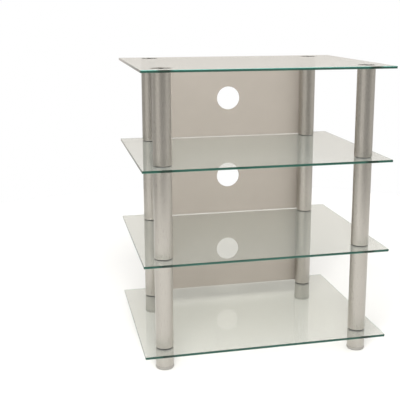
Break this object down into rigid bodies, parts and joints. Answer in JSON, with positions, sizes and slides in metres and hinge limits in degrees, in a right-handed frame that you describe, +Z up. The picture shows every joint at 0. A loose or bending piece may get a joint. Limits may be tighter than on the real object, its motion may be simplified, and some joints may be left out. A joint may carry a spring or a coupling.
{
  "type": "audio equipment rack",
  "caption": "Free-standing audio equipment rack: clear glass shelves on round metal posts, with sheet-metal backs and round cable holes.",
  "frame": {"origin": "on the floor, under the middle of the shelves' outline", "axes": "+Z up, front of the rack towards -Y, +X to the right as seen from the front"},
  "size_m": [0.62, 0.465, 0.742],
  "materials": {
    "clear_glass": "clear tempered float glass with polished green edges",
    "satin_tube": "satin silver with a warm tint",
    "cast_foot": "satin silver to match the tubes",
    "panel_sheet": "satin taupe silver lacquer on sheet steel",
    "disc_metal": "bright die casting",
    "zinc_steel": "zinc plated",
    "black_plastic": "matt black moulding",
    "grey_plastic": "satin light grey moulding"
  },
  "bodies": {
    "root": {"glass_shelf_bottom": "clear_glass", "glass_shelf_lower": "clear_glass", "glass_shelf_upper": "clear_glass", "glass_shelf_top": "clear_glass", "post_tube_front_left_bottom": "satin_tube", "post_tube_front_left_middle": "satin_tube", "post_tube_front_left_top": "satin_tube", "post_tube_front_right_bottom": "satin_tube", "post_tube_front_right_middle": "satin_tube", "post_tube_front_right_top": "satin_tube", "post_tube_back_left_bottom": "satin_tube", "post_tube_back_left_middle": "satin_tube", "post_tube_back_left_top": "satin_tube", "post_tube_back_right_bottom": "satin_tube", "post_tube_back_right_middle": "satin_tube", "post_tube_back_right_top": "satin_tube", "seat_ring_front_left_bottom": "black_plastic", "seat_ring_front_left_middle": "black_plastic", "seat_ring_front_left_top": "black_plastic", "seat_ring_front_right_bottom": "black_plastic", "seat_ring_front_right_middle": "black_plastic", "seat_ring_front_right_top": "black_plastic", "seat_ring_back_left_bottom": "black_plastic", "seat_ring_back_left_middle": "black_plastic", "seat_ring_back_left_top": "black_plastic", "seat_ring_back_right_bottom": "black_plastic", "seat_ring_back_right_middle": "black_plastic", "seat_ring_back_right_top": "black_plastic", "foot_front_left": "cast_foot", "foot_front_right": "cast_foot", "foot_back_left": "cast_foot", "foot_back_right": "cast_foot", "foot_glide_front_left": "grey_plastic", "foot_glide_front_right": "grey_plastic", "foot_glide_back_left": "grey_plastic", "foot_glide_back_right": "grey_plastic", "top_disc_front_left": "disc_metal", "top_disc_front_right": "disc_metal", "top_disc_back_left": "disc_metal", "top_disc_back_right": "disc_metal", "tie_rod_front_left": "zinc_steel", "tie_rod_front_right": "zinc_steel", "tie_rod_back_left": "zinc_steel", "tie_rod_back_right": "zinc_steel", "back_panel_bottom": "panel_sheet", "back_panel_middle": "panel_sheet", "back_panel_top": "panel_sheet", "panel_screw_bottom_left_low": "zinc_steel", "panel_screw_bottom_left_high": "zinc_steel", "panel_screw_bottom_right_low": "zinc_steel", "panel_screw_bottom_right_high": "zinc_steel", "panel_screw_middle_left_low": "zinc_steel", "panel_screw_middle_left_high": "zinc_steel", "panel_screw_middle_right_low": "zinc_steel", "panel_screw_middle_right_high": "zinc_steel", "panel_screw_top_left_low": "zinc_steel", "panel_screw_top_left_high": "zinc_steel", "panel_screw_top_right_low": "zinc_steel", "panel_screw_top_right_high": "zinc_steel"}
  },
  "joints": []
}
